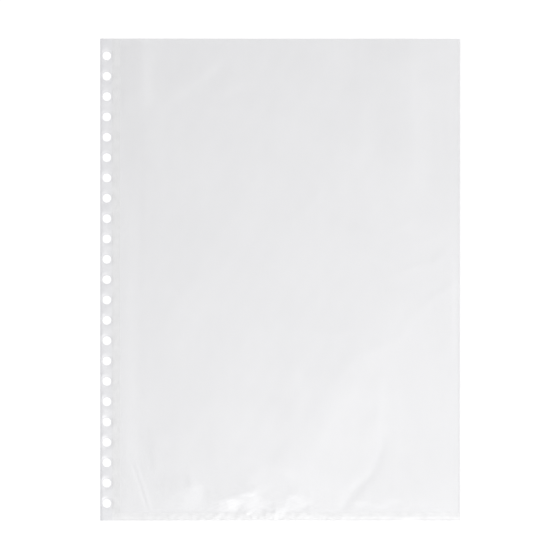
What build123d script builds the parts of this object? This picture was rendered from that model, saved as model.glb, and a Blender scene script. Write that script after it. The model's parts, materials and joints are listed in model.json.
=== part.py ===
from build123d import *
import os

# Clear page pocket with a punched binding strip, lying flat with its mouth towards +Y.
# The origin is under the middle of the pocket, on the surface that it lies on.

# Paper that the pocket takes, and the room that it has there
paper_width = 210.0
paper_length = 297.0
paper_side_play = 2.4
paper_end_play = 0.5

# Film of the two plies, and the stiffer strip that holds them apart at the binding edge
film_thickness = 0.08
strip_thickness = 0.25

# Round holes in the strip for rings or wire loops
hole_pitch = 12.7
hole_diameter = 5.2
hole_outer_margin = 1.6
hole_inner_margin = 0.8
hole_end_margin = 6.0

# Welds that close the pocket beside the strip and along the bottom
side_weld_width = 4.4
bottom_weld_width = 3.5
weld_groove_count = 2
weld_groove_width = 0.5
weld_groove_depth = 0.1

# Room for the crease to turn, and around the part of the front ply that lifts
crease_gap = 0.4
film_clearance = 0.15
front_margin = 6.0

# Sizes that follow from those
strip_width = hole_outer_margin + hole_diameter + hole_inner_margin
pocket_gap = strip_thickness
pocket_height = 2 * film_thickness + pocket_gap
fold_radius = pocket_height / 2
pocket_width = paper_width + paper_side_play
pocket_depth = paper_length + paper_end_play
overall_width = strip_width + crease_gap + side_weld_width + pocket_width + fold_radius
overall_length = bottom_weld_width + pocket_depth

# Places across the pocket, from the binding edge to the fold
binding_edge = -overall_width / 2
hole_line = binding_edge + hole_outer_margin + hole_diameter / 2
strip_edge = binding_edge + strip_width
weld_start = strip_edge + crease_gap
pocket_start = weld_start + side_weld_width
fold_start = pocket_start + pocket_width
fold_edge = overall_width / 2

# Places along the pocket, from the bottom edge to the mouth
bottom_edge = -overall_length / 2
pocket_bottom = bottom_edge + bottom_weld_width
mouth_edge = overall_length / 2

# Heights of the front ply
front_low = film_thickness + pocket_gap
front_high = pocket_height


def slab(x_low, x_high, y_low, y_high, z_low, z_high):
    """A flat block between two corners."""
    block = Box(x_high - x_low, y_high - y_low, z_high - z_low, align=(Align.MIN, Align.MIN, Align.MIN))
    return Pos(x_low, y_low, z_low) * block


def binding_strip():
    """The strip, with as many holes as its length holds, centred along it."""
    strip = slab(binding_edge, strip_edge, bottom_edge, mouth_edge, 0, strip_thickness)
    hole_room = overall_length - 2 * hole_end_margin - hole_diameter
    hole_count = int(hole_room // hole_pitch) + 1
    hole = Cylinder(hole_diameter / 2, 2 * strip_thickness)
    row = Pos(hole_line, 0, strip_thickness / 2) * GridLocations(0, hole_pitch, 1, hole_count)
    return strip - [place * hole for place in row]


def side_weld():
    """The seam between the crease and the inside of the pocket."""
    return slab(weld_start, pocket_start, pocket_bottom, mouth_edge, 0, pocket_height)


def bottom_weld():
    """The bottom seam, with grooves along it that leave raised ribs."""
    weld = slab(weld_start, fold_edge, bottom_edge, pocket_bottom, 0, pocket_height)
    groove_step = bottom_weld_width / (weld_groove_count + 1)
    for number in range(1, weld_groove_count + 1):
        middle = bottom_edge + number * groove_step
        groove_low = middle - weld_groove_width / 2
        groove_high = middle + weld_groove_width / 2
        weld -= slab(weld_start, fold_edge, groove_low, groove_high, pocket_height - weld_groove_depth, pocket_height)
    return weld


def back_film():
    """The back ply, from the side weld to the fold."""
    return slab(pocket_start, fold_start, pocket_bottom, mouth_edge, 0, film_thickness)


def side_fold():
    """The half-round turn of the film from the back ply to the front ply."""
    outside = Cylinder(fold_radius, pocket_depth, rotation=(90, 0, 0))
    inside = Cylinder(pocket_gap / 2, pocket_depth, rotation=(90, 0, 0))
    tube = Pos(fold_start, (pocket_bottom + mouth_edge) / 2, pocket_height / 2) * (outside - inside)
    return tube & slab(fold_start, fold_edge, pocket_bottom, mouth_edge, 0, pocket_height)


def front_margin_left():
    """The part of the front ply that stays flat beside the side weld."""
    margin_end = pocket_start + front_margin
    return slab(pocket_start, margin_end, pocket_bottom, mouth_edge, front_low, front_high)


def front_margin_right():
    """The part of the front ply that stays flat beside the fold."""
    margin_start = fold_start - front_margin
    return slab(margin_start, fold_start, pocket_bottom, mouth_edge, front_low, front_high)


def front_film():
    """The part of the front ply that lifts to open the mouth."""
    film_left = pocket_start + front_margin + film_clearance
    film_right = fold_start - front_margin - film_clearance
    film_bottom = pocket_bottom + film_clearance
    return slab(film_left, film_right, film_bottom, mouth_edge, front_low, front_high)


pieces = {
    "binding_strip": binding_strip(),
    "side_weld": side_weld(),
    "bottom_weld": bottom_weld(),
    "back_film": back_film(),
    "side_fold": side_fold(),
    "front_margin_left": front_margin_left(),
    "front_margin_right": front_margin_right(),
    "front_film": front_film(),
}

os.makedirs("parts", exist_ok=True)
for name, piece in pieces.items():
    export_step(piece, f"parts/{name}.step")

print(f"overall {overall_width:.2f} x {overall_length:.2f} x {pocket_height:.2f}")
print(f"page turns about x {(strip_edge + weld_start) / 2:.3f} z {pocket_height:.3f}")
print(f"mouth lifts about y {pocket_bottom:.3f} z {(front_low + front_high) / 2:.3f}")
print(f"holes on x {hole_line:.3f}")
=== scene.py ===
import json
import math

import bmesh
import bpy
import numpy as np
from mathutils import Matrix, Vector
from mathutils.bvhtree import BVHTree
from mathutils.geometry import delaunay_2d_cdt


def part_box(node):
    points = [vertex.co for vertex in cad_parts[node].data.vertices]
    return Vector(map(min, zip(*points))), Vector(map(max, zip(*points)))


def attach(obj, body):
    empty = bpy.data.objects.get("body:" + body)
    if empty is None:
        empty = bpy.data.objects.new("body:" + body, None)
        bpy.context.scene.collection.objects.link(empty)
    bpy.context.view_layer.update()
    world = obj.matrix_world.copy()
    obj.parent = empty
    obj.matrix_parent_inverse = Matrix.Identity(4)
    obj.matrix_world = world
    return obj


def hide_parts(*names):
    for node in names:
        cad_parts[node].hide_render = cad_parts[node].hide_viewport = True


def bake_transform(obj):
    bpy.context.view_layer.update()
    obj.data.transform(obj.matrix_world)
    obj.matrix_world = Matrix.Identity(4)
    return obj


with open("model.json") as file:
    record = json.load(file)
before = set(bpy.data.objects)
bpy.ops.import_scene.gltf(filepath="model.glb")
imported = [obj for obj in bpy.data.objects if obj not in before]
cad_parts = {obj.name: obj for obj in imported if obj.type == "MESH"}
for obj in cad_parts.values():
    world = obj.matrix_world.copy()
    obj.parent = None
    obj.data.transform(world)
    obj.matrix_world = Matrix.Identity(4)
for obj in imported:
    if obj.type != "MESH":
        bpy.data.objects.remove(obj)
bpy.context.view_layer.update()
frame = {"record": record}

# A clear page pocket lying on a table, with its mouth towards +Y and its binding strip at -X.
# Sizes and places are in metres, and relief of the film is in millimetres.
MM = 0.001

# Places of the solids that the looks are built around
strip_low, strip_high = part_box("binding_strip")
seam_low, seam_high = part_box("side_weld")
foot_low, foot_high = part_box("bottom_weld")
back_low, back_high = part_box("back_film")
front_low, front_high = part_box("front_film")
fold_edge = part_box("side_fold")[1].x

# Ring holes, as the record's mounts give them. The first is the one next to the mouth.
holes = [mount for mount in frame["record"]["mounts"] if mount["name"].startswith("ring_hole")]
hole_x = holes[0]["pos_m"][0]
hole_first = max(hole["pos_m"][1] for hole in holes)
hole_last = min(hole["pos_m"][1] for hole in holes)
hole_count = len(holes)
hole_pitch = (hole_first - hole_last) / (hole_count - 1)
hole_radius = holes[0]["dims"]["r_mm"] * MM

# Plies: they end above the bottom weld and at the fold's bead, and the front ply is made in two halves
film_thickness = back_high.z - back_low.z
seam_overlap = 1.6 * MM
bead_width = 1.4 * MM
bead_middle = 0.27 * MM
bead_half_height = 0.26 * MM
front_split = -4.0 * MM
mouth = front_high.y
ply_foot = foot_high.y + seam_overlap
ply_length = mouth - ply_foot
bead_start = fold_edge - bead_width

# Cells of the sheets, across and along. The front ply's rows are closer near its foot.
ply_cell = 0.75 * MM
ply_rows = 238
fine_rows = 64
fine_height = 30.0 * MM
back_cell = 1.5 * MM
side_seam_cells = (0.3 * MM, 0.9 * MM)
bottom_seam_cells = (0.5 * MM, 0.2 * MM)

# Thickness of the seams
side_seam_thickness = 0.2 * MM
bottom_seam_thickness = 0.16 * MM

# The strip is pressed down round its holes, out to the dish's radius, and slopes at its outer edge
dish_depth = 0.40 * MM
dish_radius = 5.0 * MM
edge_width = 1.4 * MM

# Front ply's edges, in mm: a lip and a curl at the mouth, and a rise and a trough beside the side seam
lip_height = 0.24
lip_width = 3.4
curl_drop = 0.05
curl_width = 1.2
seam_rise = 0.24
seam_rise_width = 14
trough_depth = 0.15
lowest_relief = -0.2

# Bottom seam, in mm: crimped dashes along its middle, low bands at its ends, and a rolled outer edge
dash_height = 0.045
dash_rows = 1.9
dash_slants = ((7.3, 2.2), (4.7, -2.8))
band_height = 0.022
band_pitch = 3.6
band_start = 1.9
rib_end = 4.6
roll_drop = 0.10

# Faces that meet at less than this angle look round, and points nearer than this are one point
smooth_angle = math.radians(40)
same_place = 0.01 * MM


class Value:
    """A number that varies over a surface. Python's operators on it add Math nodes."""

    def __init__(self, finish, socket):
        self.finish = finish
        self.socket = socket

    def math(self, operation, first, second=0.0):
        return self.finish.node("Math", {"operation": operation}, {0: first, 1: second})

    def __add__(self, other):
        return self.math("ADD", self, other)

    def __radd__(self, other):
        return self.math("ADD", other, self)

    def __sub__(self, other):
        return self.math("SUBTRACT", self, other)

    def __rsub__(self, other):
        return self.math("SUBTRACT", other, self)

    def __mul__(self, other):
        return self.math("MULTIPLY", self, other)

    def __rmul__(self, other):
        return self.math("MULTIPLY", other, self)

    def __pow__(self, other):
        return self.math("POWER", self, other)

    def __rpow__(self, other):
        return self.math("POWER", other, self)

    def sine(self):
        return self.math("SINE", self)

    def above(self, other):
        return self.math("MAXIMUM", self, other)

    def soft_step(self, low, high):
        """0 below low, 1 above high and smooth between them."""
        sockets = {"Value": self, "From Min": low, "From Max": high}
        return self.finish.node("MapRange", {"interpolation_type": "SMOOTHSTEP"}, sockets)


class Finish:
    """The nodes of one material, of a lamp or of the world."""

    def __init__(self, owner):
        owner.use_nodes = True
        self.tree = owner.node_tree
        self.tree.nodes.clear()

    def node(self, kind, settings=None, inputs=None, output=0):
        """Adds a node: its settings first, then the values or links of its sockets."""
        node = self.tree.nodes.new("ShaderNode" + kind)
        for name, setting in (settings or {}).items():
            setattr(node, name, setting)
        for key, value in (inputs or {}).items():
            if isinstance(value, Value):
                self.tree.links.new(value.socket, node.inputs[key])
            else:
                node.inputs[key].default_value = value
        return Value(self, node.outputs[output]) if node.outputs else None

    def place(self):
        """Object coordinates."""
        return self.node("TexCoord", output="Object")

    def along(self, place, axis):
        """One of the three numbers of a place."""
        return self.node("SeparateXYZ", {}, {0: place}, axis)

    def noise(self, place, cells, detail):
        """Noise from 0 to 1, with its number of cells per metre along X, Y and Z."""
        scaled = self.node("Mapping", {}, {"Vector": place, "Scale": cells})
        return self.node("TexNoise", {}, {"Vector": scaled, "Scale": 1.0, "Detail": detail})

    def bump(self, height, distance):
        return self.node("Bump", {}, {"Height": height, "Distance": distance, "Strength": 1.0})


def tint(shade, bluer=0.003):
    """A pale grey, a touch bluer than neutral."""
    return (shade, shade, shade + bluer, 1)


def clear_plastic(finish, cloud_and_painted_shade, clear_tint, cloudy_tint, milk, square_on, roughness, normal):
    """A clear body, cloudier in places and darker where shade is painted in, with a little milk, under a
    gloss that grows to grazing view.
    """
    clear = finish.node("BsdfTransparent", {}, {"Color": clear_tint})
    cloudy = finish.node("BsdfTransparent", {}, {"Color": cloudy_tint})
    body = finish.node("MixShader", {}, {0: cloud_and_painted_shade, 1: clear, 2: cloudy})
    milky = finish.node("BsdfDiffuse", {}, {"Color": tint(0.80, bluer=0.02), "Normal": normal})
    body = finish.node("MixShader", {}, {0: milk, 1: body, 2: milky})
    sheen = {"Color": (1, 1, 1, 1), "Roughness": roughness, "Normal": normal}
    gloss = finish.node("BsdfAnisotropic", {}, sheen)
    facing = finish.node("LayerWeight", {}, {"Blend": 0.5}, "Facing")
    mirror = square_on + (1 - square_on) * facing**5
    surface = finish.node("MixShader", {}, {0: mirror, 1: body, 2: gloss})
    finish.node("OutputMaterial", {}, {"Surface": surface})


def film_finish(name, square_on, shade):
    """Thin film: streaks and clouds, painted shade that darkens it towards the fold and above the weld, and
    an embossed lattice.
    """
    # Strengths of the painted shade towards the fold and above the weld
    fold_painted_shade = 0.14
    weld_painted_shade = 0.11
    emboss_pitch = 0.9 * MM
    emboss_depth = 0.004 * MM
    contrast = 0.010
    material = bpy.data.materials.new(name)
    finish = Finish(material)
    place = finish.place()
    x = finish.along(place, "X")
    y = finish.along(place, "Y")
    streaks = finish.noise(place, (260.0, 5.0, 5.0), 3.0)
    clouds = finish.noise(place, (22.0, 22.0, 22.0), 3.0)
    grain = finish.noise(place, (300.0, 90.0, 90.0), 2.0)
    # Painted shade: masks that darken the film towards the fold, fading out at the mouth, and above the weld
    # right of the middle
    below_mouth = 1 - y.soft_step(80 * MM, 125 * MM)
    painted_shade_by_fold = x.soft_step(0, 95 * MM) * below_mouth
    near_weld = 1 - y.soft_step(-125 * MM, -70 * MM)
    painted_shade_above_weld = x.soft_step(-15 * MM, 30 * MM) * near_weld
    # Random cloudiness from streaks, clouds and grain, plus the painted shade
    cloud_and_painted_shade = streaks * 0.3 + clouds * 0.4 + grain * 0.3 + painted_shade_by_fold * fold_painted_shade + painted_shade_above_weld * weld_painted_shade
    emboss_turns = 2 * math.pi / emboss_pitch
    lattice = ((x + y) * emboss_turns).sine() * ((x - y) * emboss_turns).sine()
    clear_plastic(
        finish,
        cloud_and_painted_shade,
        clear_tint=tint(shade + contrast),
        cloudy_tint=tint(shade - contrast),
        milk=0.004,
        square_on=square_on,
        roughness=0.36 + (clouds - 0.5) * 0.04,
        normal=finish.bump(lattice, emboss_depth),
    )
    return material


def strip_finish():
    """Stiffer strip: a satin face with blotches, and painted shade along its cut outer edge."""
    edge_painted_shade = 0.35
    grain_share = 0.1
    blotch_depth = 0.05 * MM
    material = bpy.data.materials.new("satin_strip")
    finish = Finish(material)
    place = finish.place()
    blotches = finish.noise(place, (160.0, 160.0, 160.0), 4.0)
    grain = finish.noise(place, (1500.0, 1500.0, 1500.0), 2.0)
    across = finish.along(place, "X")
    # Painted shade: the strip is darkened along its cut outer edge
    painted_shade_at_cut_edge = 1 - across.soft_step(strip_low.x + 0.4 * MM, strip_low.x + 2.2 * MM)
    clear_plastic(
        finish,
        blotches + painted_shade_at_cut_edge * edge_painted_shade,
        clear_tint=tint(0.952, bluer=0.005),
        cloudy_tint=tint(0.877, bluer=0.010),
        milk=0.03,
        square_on=0.06,
        roughness=0.38 + (blotches - 0.5) * 0.16,
        normal=finish.bump(blotches + grain * grain_share, blotch_depth),
    )
    return material


def weld_finish(name, shade):
    """Fused film: clearer than the strip, pressed uneven."""
    contrast = 0.03
    blotch_depth = 0.03 * MM
    material = bpy.data.materials.new(name)
    finish = Finish(material)
    blotches = finish.noise(finish.place(), (240.0, 240.0, 240.0), 4.0)
    clear_plastic(
        finish,
        blotches,
        clear_tint=tint(shade + contrast),
        cloudy_tint=tint(shade - contrast),
        milk=0.02,
        square_on=0.06,
        roughness=0.36 + (blotches - 0.5) * 0.14,
        normal=finish.bump(blotches, blotch_depth),
    )
    return material


def background_ray(finish):
    """1 for the rays that show a background, straight or by way of gloss and clear plastic."""
    camera = finish.node("LightPath", output="Is Camera Ray")
    glossy = finish.node("LightPath", output="Is Glossy Ray")
    through = finish.node("LightPath", output="Is Transmission Ray")
    return camera.above(glossy).above(through)


def table_finish():
    """Plain white table. What the camera sees of it is lifted to white, and its shadows stay."""
    white_lift = 0.56
    material = bpy.data.materials.new("white_table")
    finish = Finish(material)
    mottle = finish.noise(finish.place(), (3.0, 3.0, 3.0), 2.0)
    shade = 0.70 + (mottle - 0.5) * 0.01
    colour = finish.node("CombineColor", {}, {0: shade, 1: shade, 2: shade})
    matt = finish.node("BsdfDiffuse", {}, {"Color": colour})
    dark = finish.node("Emission", {}, {"Strength": 0.0})
    lift = finish.node("Emission", {}, {"Strength": white_lift})
    glow = finish.node("MixShader", {}, {0: background_ray(finish), 1: dark, 2: lift})
    surface = finish.node("AddShader", {}, {0: matt, 1: glow})
    finish.node("OutputMaterial", {}, {"Surface": surface})
    return material


# Film relief. From here to the modelling, x runs to the fold and y to the mouth, in millimetres.


def soft_step(value, low, high):
    """0 below low, 1 above high and smooth between them."""
    share = np.clip((value - low) / (high - low), 0, 1)
    return share * share * (3 - 2 * share)


def from_seam(x):
    """Distance from the side seam."""
    return x - back_low.x / MM


def from_fold(x):
    """Distance from the fold's bead."""
    return bead_start / MM - x


def from_path(x, y, path):
    """Distance from a path, positive on its right, and a share that fades to 0 at its ends."""
    nearest = np.full_like(x, np.inf)
    signed = np.zeros_like(x)
    travelled = np.zeros_like(x)
    length = 0.0
    for (x0, y0), (x1, y1) in zip(path, path[1:]):
        run = math.dist((x0, y0), (x1, y1))
        ahead_x = (x1 - x0) / run
        ahead_y = (y1 - y0) / run
        along = np.clip((x - x0) * ahead_x + (y - y0) * ahead_y, 0, run)
        away = np.hypot(x - x0 - along * ahead_x, y - y0 - along * ahead_y)
        right = np.sign((x - x0) * ahead_y - (y - y0) * ahead_x)
        nearer = away < nearest
        signed = np.where(nearer, away * right, signed)
        travelled = np.where(nearer, length + along, travelled)
        nearest = np.where(nearer, away, nearest)
        length += run
    fading = 0.3 * length
    fade = soft_step(travelled, 0, fading) * soft_step(length - travelled, 0, fading)
    return signed, fade


def crease(x, y, path, height, width):
    """A soft fold along a path, raised or, with a negative height, sunk."""
    signed, fade = from_path(x, y, path)
    return height * fade * np.exp(-((signed / width) ** 2))


def lean(x, y, path, drop, width):
    """Film that drops as it crosses a path to the right, after a slow rise on the left."""
    rise = 8 * width
    signed, fade = from_path(x, y, path)
    left = np.minimum(signed, 0)
    return drop / 2 * fade * (1 - np.tanh(signed / width)) * np.exp(-((left / rise) ** 2))


def ridge(x, y, path, height, width, left_reach, right_reach):
    """Film that swells to a path, over one length on its left and another on its right."""
    signed = from_path(x, y, path)[0]
    left = width * np.logaddexp(0, -signed / width)
    right = width * np.logaddexp(0, signed / width)
    return height * np.exp(-left / left_reach - right / right_reach)


def facet_heights(x, y, points):
    """Heights of flat facets stretched between given points of film."""
    places = [Vector((px, py)) for px, py, pz in points]
    whole_hull = 0
    closeness = 1e-6
    corners, _, facets = delaunay_2d_cdt(places, [], [], whole_hull, closeness)[:3]
    heights = {(round(px, 3), round(py, 3)): pz for px, py, pz in points}
    raised = [(c.x, c.y, heights[round(c.x, 3), round(c.y, 3)]) for c in corners]
    net = BVHTree.FromPolygons(raised, facets)
    found = np.zeros_like(x)
    above = 10.0
    down = Vector((0, 0, -1))
    for index in range(len(x)):
        hit = net.ray_cast(Vector((x[index], y[index], above)), down)[0]
        found[index] = hit.z if hit else 0.0
    return found


# Bands that lean to the light: path, drop and half width
LEANS = [
    ([(-82, 102), (-83, 120), (-84.5, 160)], 0.85, 3.6),
    ([(89.5, 45), (87, 100), (85, 175)], 1.20, 4.0),
    ([(-74, 106), (-52, 123), (-30, 140)], 0.32, 2.0),
    ([(-38, 111), (-19, 126)], 0.28, 1.8),
    ([(55, 72), (53, 128)], 0.26, 3.0),
    ([(12.3, -104), (12.3, -42)], 0.28, 2.4),
    ([(61, -106), (63.5, -80), (63, -54)], 0.36, 1.8),
    ([(108.5, -60), (108.5, 25)], 0.20, 1.5),
    ([(-9, -112), (-2, -118), (7, -125)], 0.18, 1.6),
    ([(-83, -90), (-81, -105), (-79, -124)], 0.30, 2.2),
    ([(-79.5, -156), (-88.5, -128), (-96, -106)], 0.26, 0.9),
]

# Creases, raised or, with a negative height, sunk: path, height and half width
CREASES = [
    ([(-94.5, -103), (-85.5, -130), (-77.2, -156)], 0.20, 1.0),
    ([(70, -88), (57, -121), (45, -133), (33, -152)], -0.28, 3.4),
    ([(26, -75), (49.5, -46), (62, -42.5), (74.4, -36.5), (82.5, -22), (106, -6)], 0.13, 3.0),
    ([(46, 21), (60, 14), (75, 9)], 0.15, 1.7),
    ([(40, 33), (53, 30), (68, 22)], 0.12, 1.8),
    ([(62, 28), (72, 31), (85, 40)], 0.13, 1.6),
    ([(73, 25), (88, 23), (102, 29)], 0.10, 1.7),
    ([(83, 7), (93, 9), (106, 16)], 0.09, 1.9),
    ([(64, -2), (82, 7), (97, 13)], 0.12, 1.8),
    ([(58, 8), (70, -6), (78, -20)], 0.13, 1.8),
    ([(115, 2), (101, -8), (85, -17)], 0.16, 1.7),
    ([(110, 24), (98, 14), (92, 2)], 0.09, 1.8),
    ([(30, 62), (17, 45), (8, 38)], 0.10, 2.2),
    ([(-44, 8), (-30, -4), (-22, -22)], 0.10, 2.0),
    ([(20, -30), (34, -34), (52, -30)], 0.12, 1.8),
    ([(-118, 147.3), (-98, 147.3), (-78, 147.3)], -0.14, 1.2),
]

# Broad swells: path of the crest, height, roundness of the crest, and reach on its left and on its right
BRIGHT_SIDE = (
    [(8, -150), (17, -108), (35, -71), (56, -44), (82, -34), (96, -11), (122, 6)],
    1.7,
    1.8,
    60.0,
    55.0,
)
DARK_CORNER = ([(-87.5, 150), (-96.4, 123.5), (-101.3, 104)], 1.3, 1.0, 45.0, 9.0)

# Faint waves all over: height, lengths along x and along y, and phase
WAVES = [
    (0.05, 96, 31, 0.4),
    (0.05, -61, 118, 1.9),
    (0.03, 43, -77, 3.1),
    (0.02, 37, 29, 4.4),
    (0.02, 14, -23, 0.9),
    (0.02, -17, -19, 2.6),
]

# Crumpled film at the bottom weld: places and heights over the flat ply
CRUMPLE = [
    # long rise towards the weld
    (-92, -118, 0.06), (-74, -116, 0.18), (-58, -117, 0.44), (-42, -115, 0.36), (-26, -117, 0.42),
    (-10, -115, 0.38), (8, -117, 0.32), (26, -115, 0.12), (44, -117, 0.10), (62, -116, 0.10),
    (80, -117, 0.10), (98, -116, 0.06), (-92, -132, 0.08), (-78, -131, 0.22), (31, -130, 0.10),
    (42, -131, 0.10), (56, -130, 0.18), (80, -130, 0.18), (98, -131, 0.10), (-92, -144.6, 0.02),
    (-78, -144.6, 0.03),
    # soft patch with a sharp right edge
    (-61.0, -131.0, 0.86), (-54.5, -128.4, 1.06), (-64.5, -143.0, 0.08), (-71.0, -137.0, 0.28),
    (-60.5, -138.6, 0.46), (-48.9, -128.8, 0.48), (-49.4, -138.2, 0.30), (-55.5, -144.2, 0.04),
    (-49.0, -143.8, 0.06), (-46.6, -130.0, 0.46), (-46.4, -137.4, 0.35), (-46.4, -144.0, 0.04),
    # gentle slope above the facets
    (-40, -126, 0.54), (-31, -126.5, 0.80), (-21, -126, 0.94), (-13, -127, 0.64), (-3, -126.5, 0.50),
    (5, -126, 0.48), (14, -126.5, 0.32), (23, -127, 0.22),
    # broad facet, then the steepest one, narrow at its foot
    (-41.5, -137.6, 0.58), (-37.4, -137.4, 0.80), (-42.4, -144.8, 0.08), (-38.0, -144.8, 0.22),
    (-33.6, -136.9, 1.00), (-25.4, -136.9, 1.08), (-32.2, -144.4, 0.16), (-27.2, -144.0, 0.00),
    # folded facet with a crest, a flatter side and a steep stripe
    (-23.9, -133.0, 1.26), (-20.2, -132.7, 1.34), (-16.4, -132.7, 1.24), (-23.4, -135.4, 1.06),
    (-19.6, -135.4, 1.03), (-22.2, -138.8, 0.92), (-19.6, -141.6, 0.70), (-18.0, -137.6, 0.88),
    (-14.2, -139.4, 0.42), (-15.6, -135.4, 0.84), (-16.2, -143.4, 0.34), (-11.6, -143.4, 0.06),
    (-13.4, -132.0, 0.66), (-11.8, -134.8, 0.54), (-9.8, -138.2, 0.42), (-7.8, -142.2, 0.20),
    # dark notch and a softer facet
    (-4.2, -138.4, 0.58), (-5.6, -144.4, 0.06), (1.5, -135.0, 0.52), (5.4, -134.6, 0.64),
    (9.4, -134.2, 0.78), (15.4, -135.6, 0.36), (12.8, -137.2, 0.46), (11.4, -139.8, 0.32),
    (11.8, -144.0, 0.04), (4.6, -143.6, 0.16), (18.6, -140.0, 0.12), (20.0, -144.6, 0.04),
    (24.0, -138.0, 0.10), (30.0, -144.8, 0.03), (36.0, -137.0, 0.08), (40.0, -142.0, 0.06),
    # small facets to the right
    (45.0, -140.0, 0.10), (47.0, -138.0, 0.24), (52.6, -138.0, 0.28), (50.0, -142.0, 0.06),
    (55.0, -138.6, 0.18), (56.8, -141.4, 0.08), (58.5, -139.8, 0.21), (65.0, -140.2, 0.26),
    (62.0, -144.0, 0.03), (65.6, -137.0, 0.31), (71.0, -136.8, 0.35), (68.6, -141.0, 0.10),
    (72.6, -136.4, 0.36), (75.2, -136.6, 0.38), (73.8, -139.4, 0.20), (72.0, -144.6, 0.03),
    (77.2, -143.4, 0.34), (79.2, -144.2, 0.08), (83.0, -140.0, 0.14), (88.0, -136.0, 0.22),
    (96.0, -140.0, 0.14), (104.0, -138.0, 0.10), (90.0, -145.0, 0.03), (104.0, -145.0, 0.02),
    # puckers that run into the weld
    (-37.0, -149.4, -0.08), (-32.6, -148.6, 0.02), (-23.8, -145.4, 0.22), (-21.2, -145.6, 0.44),
    (-18.4, -145.4, 0.40), (-20.8, -149.8, -0.10), (-8.4, -145.6, 0.36), (-3.8, -145.8, 0.36),
    (-5.2, -149.8, -0.10), (-2.6, -142.2, 0.62), (2.6, -142.4, 0.54), (0.2, -149.9, -0.10),
    (19.5, -145.2, 0.36), (16.0, -149.4, -0.05), (23.0, -149.4, -0.05), (80.6, -148.8, 0.26),
]

# Rows that hold the border of the crumpled film flat: a zigzag above it and a straight row at its foot
border_left = -106
border_right = 126
top_row = -97.0
top_zigzag = 6.0
top_step = 11
foot_row = -151.0
foot_step = 6
CRUMPLE_TOP = [
    (at, top_row - top_zigzag * (turn % 2), 0.0)
    for turn, at in enumerate(range(border_left, border_right, top_step))
]
CRUMPLE_FOOT = [(at, foot_row, 0.0) for at in range(border_left, border_right, foot_step)]


def crumple(x, y):
    """Heights of the crumpled film over the flat ply.

    Each is the mean over a small ring of places, which rounds the facets' edges, more so away from the weld.
    """
    crumple_end = -96
    sharp_end = -140
    least_blur = 0.3
    blur_growth = 0.06
    turns = 8
    points = CRUMPLE + CRUMPLE_TOP + CRUMPLE_FOOT
    heights = np.zeros_like(x)
    low = y < crumple_end
    blur = least_blur + blur_growth * np.maximum(y[low] - sharp_end, 0)
    for turn in range(turns):
        angle = 2 * math.pi * turn / turns
        beside = x[low] + blur * math.cos(angle)
        along = y[low] + blur * math.sin(angle)
        heights[low] += facet_heights(beside, along, points) / turns
    return heights


def crackle(x, y):
    """Fine sharp creases between the facets: two sets of wandering lines that cross."""
    lines = 0.035 * np.abs(np.sin(0.92 * x + 0.50 * y + 1.3 * np.sin(0.31 * x)))
    lines += 0.030 * np.abs(np.sin(0.55 * x - 1.10 * y + 1.1 * np.sin(0.43 * y)))
    middle = soft_step(x, -72, -40) * (1 - soft_step(x, 14, 34))
    right = 0.6 * soft_step(x, 40, 50) * (1 - soft_step(x, 74, 90))
    return lines * (middle + right) * (1 - soft_step(y, -140, -127))


def swells(x, y):
    """A broad swell and faint waves that die out at the edges, and a swell by the seam at the mouth."""
    swell = ridge(x, y, *BRIGHT_SIDE) * (1 - 0.8 * soft_step(y, -10, 90))
    for height, length_x, length_y, phase in WAVES:
        swell += height * np.sin(2 * math.pi * (x / length_x + y / length_y) + phase)
    from_weld = y - ply_foot / MM
    swell *= soft_step(from_seam(x), 0, 40) * soft_step(from_fold(x), 14, 70) * soft_step(from_weld, 0, 65)
    return swell + ridge(x, y, *DARK_CORNER) * soft_step(from_seam(x), 0, 20)


def handling_marks(x, y):
    """Leaning bands and creases, which stop at the seam and at the fold."""
    marks = np.zeros_like(x)
    for path, drop, width in LEANS:
        marks += lean(x, y, path, drop, width)
    for path, height, width in CREASES:
        marks += crease(x, y, path, height, width)
    return marks * (soft_step(from_seam(x), 0, 4) * soft_step(from_fold(x), 0, 3))


def rise_at_seam(x):
    """How far the film stands up beside the side seam."""
    return seam_rise * (1 - soft_step(from_seam(x), 0, seam_rise_width))


def edge_shape(x, y):
    """The lip and the curl at the mouth, and the rise and the trough beside the side seam."""
    top = mouth / MM
    lip = lip_height * soft_step(y, top - lip_width, top) * (1 - soft_step(x, -88, -80))
    along_seam = soft_step(y, -125, -95) * (1 - soft_step(y, 45, 75))
    trough = soft_step(from_seam(x), 3, 12) * (1 - soft_step(from_seam(x), 12, 55))
    beside_seam = rise_at_seam(x) - trough_depth * along_seam * trough
    return lip + beside_seam - curl_drop * soft_step(y, top - curl_width, top)


def ply_relief(x, y):
    """How far the front ply stands above its flat place."""
    relief = swells(x, y) + handling_marks(x, y) + crumple(x, y) + crackle(x, y) + edge_shape(x, y)
    return np.maximum(relief, lowest_relief)


def seam_relief(x, y):
    """How far the bottom seam stands above the flat front ply: ribs, a rolled edge and puckers."""
    up = y - foot_low.y / MM
    crimped = soft_step(x, -80, -74) * (1 - soft_step(x, 38, 46))
    slants = sum(np.sin(2 * math.pi * x / pitch + slope * up) for pitch, slope in dash_slants)
    dashes = dash_height * crimped * slants * np.sin(2 * math.pi * up / dash_rows)
    bands = band_height * (1 - crimped) * np.sin(2 * math.pi * (up - band_start) / band_pitch)
    ribs = (dashes + bands) * soft_step(rib_end - up, 0, 1)
    rolled = -roll_drop * (1 - soft_step(up, 0.2, 3.0))
    puckers = (crumple(x, y) + crackle(x, y)) * soft_step(up, 0, 0.8)
    return ribs + rolled + puckers + rise_at_seam(x)


# Modelling. From here on, all is in metres again.


def start_fresh():
    """Nothing stays selected when a new primitive comes in."""
    if bpy.context.mode != "OBJECT":
        bpy.ops.object.mode_set(mode="OBJECT")
    bpy.ops.object.select_all(action="DESELECT")


def take(piece):
    """Makes a piece the one that operators act on."""
    start_fresh()
    piece.select_set(True)
    bpy.context.view_layer.objects.active = piece


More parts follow.
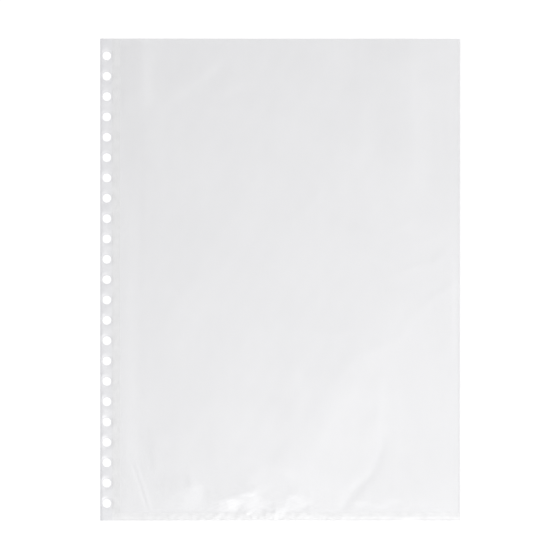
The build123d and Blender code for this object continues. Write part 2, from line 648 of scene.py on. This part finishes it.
def film_grid(name, x_low, x_high, y_low, y_high, cell_x, cell_y):
    """A flat sheet of even cells, at its size and place."""
    start_fresh()
    columns = round((x_high - x_low) / cell_x)
    rows = round((y_high - y_low) / cell_y)
    middle = ((x_low + x_high) / 2, (y_low + y_high) / 2, 0)
    bpy.ops.mesh.primitive_grid_add(x_subdivisions=columns, y_subdivisions=rows, size=1, location=middle)
    sheet = bpy.context.object
    sheet.name = name
    sheet.scale = (x_high - x_low, y_high - y_low, 1)
    bpy.ops.object.transform_apply(location=True, rotation=True, scale=True)
    return sheet


def points_of(piece):
    """A piece's points as three columns."""
    points = np.empty(len(piece.data.vertices) * 3, np.float32)
    piece.data.vertices.foreach_get("co", points)
    return points.reshape(-1, 3).astype(float)


def put_points(piece, points):
    """Moves a piece's points to new places."""
    piece.data.vertices.foreach_set("co", points.astype(np.float32).ravel())
    piece.data.update()


def apply_modifier(piece, kind, **settings):
    """Adds a modifier with its settings and applies it."""
    take(piece)
    modifier = piece.modifiers.new(kind.lower(), kind)
    for name, setting in settings.items():
        setattr(modifier, name, setting)
    bpy.ops.object.modifier_apply(modifier=modifier.name)


def thicken(piece, thickness, offset):
    """Gives a surface its thickness, outwards for an offset of 1 or inwards for -1, and smooths it."""
    apply_modifier(piece, "SOLIDIFY", thickness=thickness, offset=offset)
    take(piece)
    bpy.ops.object.shade_smooth_by_angle(angle=smooth_angle)


def front_half(name, x_low, x_high):
    """One half of the front ply, from the side seam or the fold to the middle."""
    half = film_grid(name, x_low, x_high, ply_foot, mouth, ply_cell, ply_length / ply_rows)
    points = points_of(half)
    share = (points[:, 1] - ply_foot) / ply_length
    rows = (0, fine_rows / ply_rows, 1)
    points[:, 1] = np.interp(share, rows, (ply_foot, ply_foot + fine_height, mouth))
    points[:, 2] = front_low.z + ply_relief(points[:, 0] / MM, points[:, 1] / MM) * MM
    put_points(half, points)
    thicken(half, film_thickness, offset=1)
    return half


def back_sheet():
    """The back ply, flat on the table."""
    sheet = film_grid("back_ply", back_low.x, bead_start, ply_foot, mouth, back_cell, back_cell)
    points = points_of(sheet)
    points[:, 2] = back_low.z
    put_points(sheet, points)
    thicken(sheet, film_thickness, offset=1)
    return sheet


def fold_roll():
    """The fold: the film rolls over from the back ply to the front ply in a slim bead."""
    sides = 24
    runs = 99
    middle = (fold_edge - bead_width / 2, ply_foot, bead_middle)
    upright = (math.pi / 2, 0, 0)
    start_fresh()
    bpy.ops.mesh.primitive_circle_add(vertices=sides, radius=1, location=middle, rotation=upright)
    roll = bpy.context.object
    roll.name = "fold_roll"
    roll.scale = (bead_width / 2, bead_half_height, 1)
    bpy.ops.object.transform_apply(location=True, rotation=True, scale=True)
    bpy.ops.object.mode_set(mode="EDIT")
    bpy.ops.mesh.select_all(action="SELECT")
    for run in range(runs):
        bpy.ops.mesh.extrude_region_move(TRANSFORM_OT_translate={"value": (0, ply_length / runs, 0)})
    bpy.ops.mesh.select_all(action="SELECT")
    bpy.ops.mesh.normals_make_consistent(inside=False)
    bpy.ops.object.mode_set(mode="OBJECT")
    thicken(roll, film_thickness, offset=-1)
    return roll


def dish(x, y):
    """How far the strip and the seam beside it stand above the rims of the holes."""
    number = np.clip(np.round((hole_first - y) / hole_pitch), 0, hole_count - 1)
    from_hole = np.hypot(x - hole_x, y - (hole_first - number * hole_pitch))
    edge = soft_step(x, strip_low.x, strip_low.x + edge_width)
    return dish_depth * edge * soft_step(from_hole, hole_radius, dish_radius)


def side_seam():
    """The pressed seam beside the strip, which follows the height of the strip's top."""
    seam = film_grid("side_seam", strip_high.x, seam_high.x, ply_foot, mouth, *side_seam_cells)
    points = points_of(seam)
    points[:, 2] = strip_high.z + dish(points[:, 0], points[:, 1])
    put_points(seam, points)
    thicken(seam, side_seam_thickness, offset=-1)
    return seam


def bottom_seam():
    """The bottom weld, which starts level with the strip and climbs to the front ply."""
    climb = 1.2 * MM
    seam = film_grid("bottom_seam", strip_high.x, foot_high.x, foot_low.y, ply_foot, *bottom_seam_cells)
    points = points_of(seam)
    x = points[:, 0]
    y = points[:, 1]
    strip_level = strip_high.z + dish(x, y)
    seam_level = front_high.z + seam_relief(x / MM, y / MM) * MM
    share = soft_step(x, strip_high.x, strip_high.x + climb)
    points[:, 2] = strip_level + share * (seam_level - strip_level)
    put_points(seam, points)
    thicken(seam, bottom_seam_thickness, offset=-1)
    return seam


def select_edges(piece, wanted):
    """In edit mode, selects the edges whose two ends pass a test on their place."""
    mesh = bmesh.from_edit_mesh(piece.data)
    for face in mesh.faces:
        face.select = False
    for edge in mesh.edges:
        edge.select = all(wanted(vertex.co) for vertex in edge.verts)
    mesh.select_flush_mode()
    bmesh.update_edit_mesh(piece.data)


def cell_border(turn, spoke):
    """Where a line from a hole's middle at that angle leaves the hole's own length of strip."""
    tiny = 1e-9
    corners = [
        Vector((side - hole_x, end * hole_pitch / 2, 0))
        for side in (strip_low.x, strip_high.x)
        for end in (1, -1)
    ]
    for corner in corners:
        apart = turn - math.atan2(corner.y, corner.x)
        if abs(math.remainder(apart, 2 * math.pi)) < spoke / 2:
            return corner
    across = math.cos(turn)
    up = math.sin(turn)
    side = strip_high.x - hole_x if across > 0 else hole_x - strip_low.x
    reach = min(side / max(abs(across), tiny), hole_pitch / 2 / max(abs(up), tiny))
    return Vector((across, up, 0)) * reach


def hole_cell():
    """The first hole with its own length of strip round it, in rings from the rim out to the border."""
    sides = 48
    rings = 8
    spoke = 2 * math.pi / sides
    centre = Vector((hole_x, hole_first, strip_high.z))
    start_fresh()
    bpy.ops.mesh.primitive_circle_add(vertices=sides, radius=hole_radius, location=centre)
    cell = bpy.context.object
    bpy.ops.object.transform_apply(location=True, rotation=True, scale=True)
    bpy.ops.object.mode_set(mode="EDIT")
    bpy.ops.mesh.select_mode(type="EDGE")
    bpy.ops.mesh.select_all(action="SELECT")
    for ring in range(1, rings + 1):
        bpy.ops.mesh.extrude_region()
        mesh = bmesh.from_edit_mesh(cell.data)
        for vertex in mesh.verts:
            if vertex.select:
                arm = vertex.co - centre
                turn = spoke * round(math.atan2(arm.y, arm.x) / spoke)
                rim = Vector((math.cos(turn), math.sin(turn), 0)) * hole_radius
                vertex.co = centre + rim.lerp(cell_border(turn, spoke), ring / rings)
        bmesh.update_edit_mesh(cell.data)
    bpy.ops.object.mode_set(mode="OBJECT")
    return cell


def add_strip_ends(strip):
    """Carries the row of holes on to the strip's two ends."""
    runs = 4
    ends = ((hole_first + hole_pitch / 2, strip_high.y), (hole_last - hole_pitch / 2, strip_low.y))
    bpy.ops.object.mode_set(mode="EDIT")
    bpy.ops.mesh.select_mode(type="EDGE")
    for row_end, strip_end in ends:
        select_edges(strip, lambda place: abs(place.y - row_end) < same_place)
        step = (0, (strip_end - row_end) / runs, 0)
        for run in range(runs):
            bpy.ops.mesh.extrude_region_move(TRANSFORM_OT_translate={"value": step})
    bpy.ops.mesh.select_all(action="SELECT")
    bpy.ops.mesh.normals_make_consistent(inside=False)
    bpy.ops.object.mode_set(mode="OBJECT")


def punched_strip():
    """The binding strip: one hole with the strip round it, repeated in a row, and its two ends."""
    strip = hole_cell()
    strip.name = "punched_strip"
    apply_modifier(
        strip,
        "ARRAY",
        count=hole_count,
        use_relative_offset=False,
        use_constant_offset=True,
        constant_offset_displace=(0, -hole_pitch, 0),
        use_merge_vertices=True,
        merge_threshold=same_place,
    )
    add_strip_ends(strip)
    points = points_of(strip)
    points[:, 2] += dish(points[:, 0], points[:, 1])
    put_points(strip, points)
    thicken(strip, strip_high.z - strip_low.z, offset=-1)
    return strip


def dress(piece, material, slot, *nodes):
    """Gives a piece its finish and hides the solids that it stands for."""
    piece.data.materials.clear()
    piece.data.materials.append(material)
    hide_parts(*nodes)


def soft_box(name, place, width, depth, watts):
    """A rectangular lamp that faces the middle of the pocket."""
    start_fresh()
    tilt = math.atan2(math.hypot(place[0], place[1]), place[2])
    turn = math.atan2(place[0], -place[1])
    bpy.ops.object.light_add(type="AREA", location=place, rotation=(tilt, 0, turn))
    lamp = bpy.context.object
    lamp.name = name
    lamp.data.shape = "RECTANGLE"
    lamp.data.size = width
    lamp.data.size_y = depth
    lamp.data.energy = watts
    return lamp


def grade_outwards(lamp):
    """Lets a lamp grow from dark at its inner edge to twice its mean at its outer edge."""
    finish = Finish(lamp.data)
    inwards = finish.along(finish.node("NewGeometry", output="Parametric"), "Y")
    glow = finish.node("Emission", {}, {"Strength": 2 - 2 * inwards})
    finish.node("OutputLight", {}, {"Surface": glow})


# Finishes
front_sheen = film_finish("embossed_film_front", square_on=0.06, shade=0.968)
back_sheen = film_finish("embossed_film_back", square_on=0.02, shade=0.968)
# Painted light: the fold's bead gets a lighter copy of the film, which takes the shade off it
fold_film_painted_lighter = film_finish("rolled_film_painted_lighter", square_on=0.04, shade=0.974)
strip_satin = strip_finish()
side_fused = weld_finish("fused_side", shade=0.903)
foot_fused = weld_finish("fused_bottom", shade=0.913)

# Pieces
strip = punched_strip()
dress(strip, strip_satin, "strip", "binding_strip")
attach(strip, "strip")

seam = side_seam()
dress(seam, side_fused, "weld", "side_weld")
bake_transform(seam)

foot = bottom_seam()
dress(foot, foot_fused, "weld", "bottom_weld")
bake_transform(foot)

back = back_sheet()
dress(back, back_sheen, "film", "back_film")
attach(back, "pocket")

roll = fold_roll()
dress(roll, fold_film_painted_lighter, "film", "side_fold")
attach(roll, "pocket")

left = front_half("front_ply_left", back_low.x, front_split)
dress(left, front_sheen, "film", "front_film", "front_margin_left")
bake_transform(left)

right = front_half("front_ply_right", front_split, bead_start)
dress(right, front_sheen, "film", "front_film", "front_margin_right")
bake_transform(right)

# Table, a hair below the pocket
table_size = 24.0
table_gap = 0.02 * MM
start_fresh()
bpy.ops.mesh.primitive_plane_add(size=table_size, location=(0, 0, -table_gap))
table = bpy.context.object
table.name = "table"
bpy.ops.object.transform_apply(location=True)
table.data.materials.append(table_finish())

# Light: a broad soft box, brighter outwards, a small one beyond the bottom weld, and a pale room
broad_box = soft_box("broad_box", place=(0.21, -0.12, 1.30), width=1.2, depth=1.3, watts=5.7)
grade_outwards(broad_box)
soft_box("low_box", place=(0.06, -0.80, 1.10), width=0.4, depth=0.3, watts=3.2)

room_strength = 0.4
world = bpy.data.worlds.new("white_room")
room = Finish(world)
pale = room.node("Background", {}, {"Color": (1, 1, 1, 1), "Strength": room_strength})
room.node("OutputWorld", {}, {"Surface": pale})
bpy.context.scene.world = world

# Camera: straight down. The photograph's frame is centred a little below and left of the pocket's middle.
frame_width = 349.7 * MM
frame_offset = -0.2 * MM
lens = 120.0
sensor = 36.0
camera_height = frame_width * lens / sensor
bpy.ops.object.camera_add(location=(frame_offset, frame_offset, camera_height), rotation=(0, 0, 0))
camera = bpy.context.object
camera.name = "camera"
camera.data.lens = lens
camera.data.sensor_width = sensor
bpy.context.scene.camera = camera

bpy.context.scene.view_settings.view_transform = "Standard"
# No ray is dropped on its way through the faces of the two plies, which would leave grain
bpy.context.scene.cycles.min_transparent_bounces = 16
